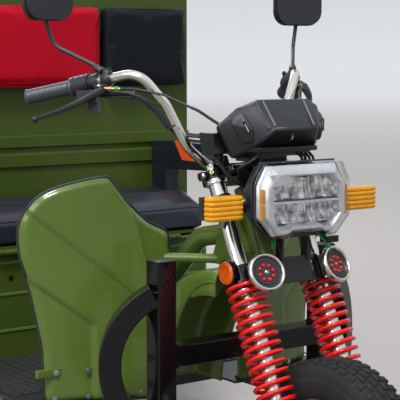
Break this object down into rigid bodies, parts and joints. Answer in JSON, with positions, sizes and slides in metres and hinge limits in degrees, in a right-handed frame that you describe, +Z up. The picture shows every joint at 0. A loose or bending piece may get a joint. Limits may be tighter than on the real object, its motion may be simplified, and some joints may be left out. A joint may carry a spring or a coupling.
{
  "type": "electric cargo tricycle",
  "caption": "Green electric cargo tricycle with a bench seat, an open load box with a tailgate, red coil springs on a chrome fork and a wide chrome handlebar.",
  "frame": {"origin": "on the floor at the middle of the footprint's box", "axes": "-Y forward, +X to the vehicle's left, +Z up"},
  "size_m": [1.1, 3.1156, 1.33],
  "materials": {
    "green_paint": null,
    "black_paint": null,
    "wheel_paint": null,
    "chrome": null,
    "steel": null,
    "spring_red": null,
    "black_plastic": null,
    "amber_plastic": null,
    "red_plastic": null,
    "plate_white": null,
    "rubber": null,
    "tyre": null,
    "vinyl": null,
    "mirror": null,
    "glass": null
  },
  "bodies": {
    "chassis": {"head_frame": "green_paint", "chassis_frame": "black_paint", "load_rails": "black_paint", "floor_bearers": "black_paint", "spring_hangers": "black_paint", "front_mudguard": "green_paint", "leg_shield_left": "green_paint", "leg_shield_right": "green_paint", "crash_bar": "black_paint", "footboard": "black_plastic", "brake_pedal": "black_paint", "seat_box": "green_paint", "battery_pack": "black_plastic", "armrests": "black_plastic", "headboard": "green_paint", "backrest_pads": "vinyl", "cargo_floor": "green_paint", "cargo_side_left": "green_paint", "cargo_side_right": "green_paint", "rear_axle": "black_paint", "leaf_springs": "black_paint", "rear_mudguards": "black_paint", "rear_bar": "black_paint", "tail_lamps": "red_plastic", "number_plate": "plate_white"},
    "steering": {"fork_clamps": "black_paint", "fork_legs": "chrome", "fork_springs": "spring_red", "fork_sliders": "black_paint", "front_axle": "steel", "lamp_plate": "black_paint", "lamp_stays": "black_paint", "ring_lamps": "chrome", "side_reflectors": "amber_plastic", "headlight_shell": "black_plastic", "headlight_bezel": "chrome", "headlight_reflector": "chrome", "headlight_lens": "glass", "indicators": "amber_plastic", "indicator_backs": "black_plastic", "instrument_pod": "black_plastic", "handlebar": "chrome", "grips": "rubber", "switch_housings": "black_plastic", "brake_levers": "steel", "mirror_arms": "black_plastic", "mirror_glass": "mirror", "control_cables": "rubber"},
    "front_wheel": {"front_tyre": "tyre", "front_rim": "wheel_paint"},
    "rear_wheel_left": {"rear_tyre_left": "tyre", "rear_rim_left": "wheel_paint"},
    "rear_wheel_right": {"rear_tyre_right": "tyre", "rear_rim_right": "wheel_paint"},
    "seat": {"seat_pan": "green_paint", "seat_cushion": "vinyl"},
    "tailgate": {"tailgate": "green_paint"}
  },
  "joints": [
    {"name": "steering_turn", "type": "hinge", "parent": "chassis", "child": "steering", "pos_m": [0, -1.06823, 0.672], "axis": [0, 0.4352, 0.9003], "range_deg": [-35, 35]},
    {"name": "front_wheel_spin", "type": "hinge", "parent": "steering", "child": "front_wheel", "pos_m": [0, -1.30777, 0.25], "axis": [-1, 0, 0], "continuous": true},
    {"name": "rear_left_spin", "type": "hinge", "parent": "chassis", "child": "rear_wheel_left", "pos_m": [0.45, 0.84223, 0.25], "axis": [-1, 0, 0], "continuous": true},
    {"name": "rear_right_spin", "type": "hinge", "parent": "chassis", "child": "rear_wheel_right", "pos_m": [-0.45, 0.84223, 0.25], "axis": [-1, 0, 0], "continuous": true},
    {"name": "seat_lift", "type": "hinge", "parent": "chassis", "child": "seat", "pos_m": [0, -0.29623, 0.627], "axis": [1, 0, 0], "range_deg": [0, 75]},
    {"name": "tailgate_drop", "type": "hinge", "parent": "chassis", "child": "tailgate", "pos_m": [0, 1.54877, 0.588], "axis": [-1, 0, 0], "range_deg": [0, 175]}
  ]
}
